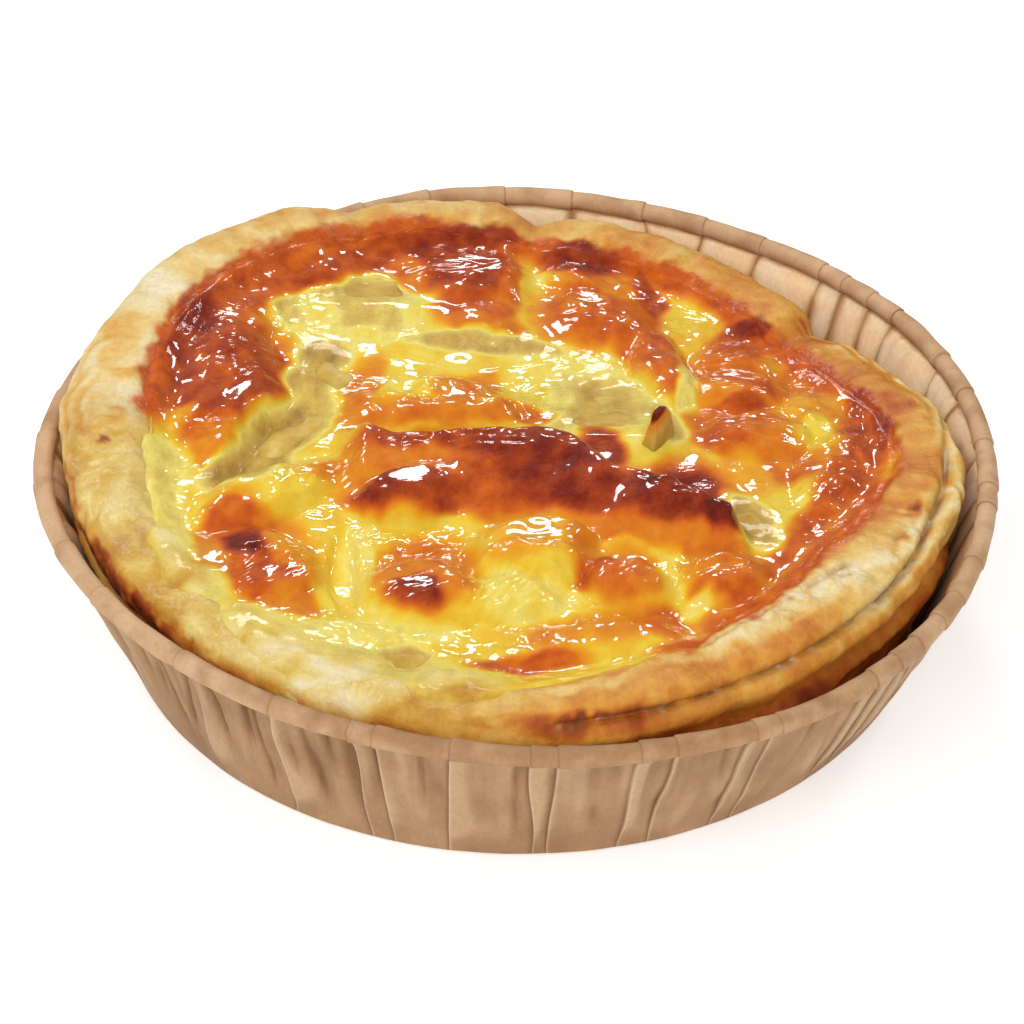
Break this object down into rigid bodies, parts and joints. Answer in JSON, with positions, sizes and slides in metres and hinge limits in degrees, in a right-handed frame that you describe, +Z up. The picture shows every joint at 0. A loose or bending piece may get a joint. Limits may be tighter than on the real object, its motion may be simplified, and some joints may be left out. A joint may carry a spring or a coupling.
{
  "type": "quiche in a paper case",
  "caption": "Small round quiche with a puff-pastry rim, browned cheese filling with bare pieces of potato, sitting in a pleated kraft paper case.",
  "frame": {"origin": "on the table, at the middle of the whole outline seen from above", "axes": "+Z up, -Y towards the side that the picture looks from, +X to the picture's right"},
  "size_m": [0.1199, 0.1204, 0.03],
  "materials": {
    "paper": "matt brown kraft paper with fibres, creases and pleats",
    "pastry": "baked puff pastry, pale cream to golden brown, dry and slightly rough",
    "custard": "melted cheese and egg custard, yellow to dark brown, wet and glossy",
    "potato": "boiled potato, pale yellow, translucent and moist"
  },
  "bodies": {
    "root": {"paper_case": "paper", "crust": "pastry", "filling": "custard", "potato_left": "potato", "potato_left_slice": "potato", "potato_back_left": "potato", "potato_back": "potato", "potato_disc": "potato", "potato_standing": "potato", "potato_strip": "potato", "potato_front": "potato"}
  },
  "joints": []
}
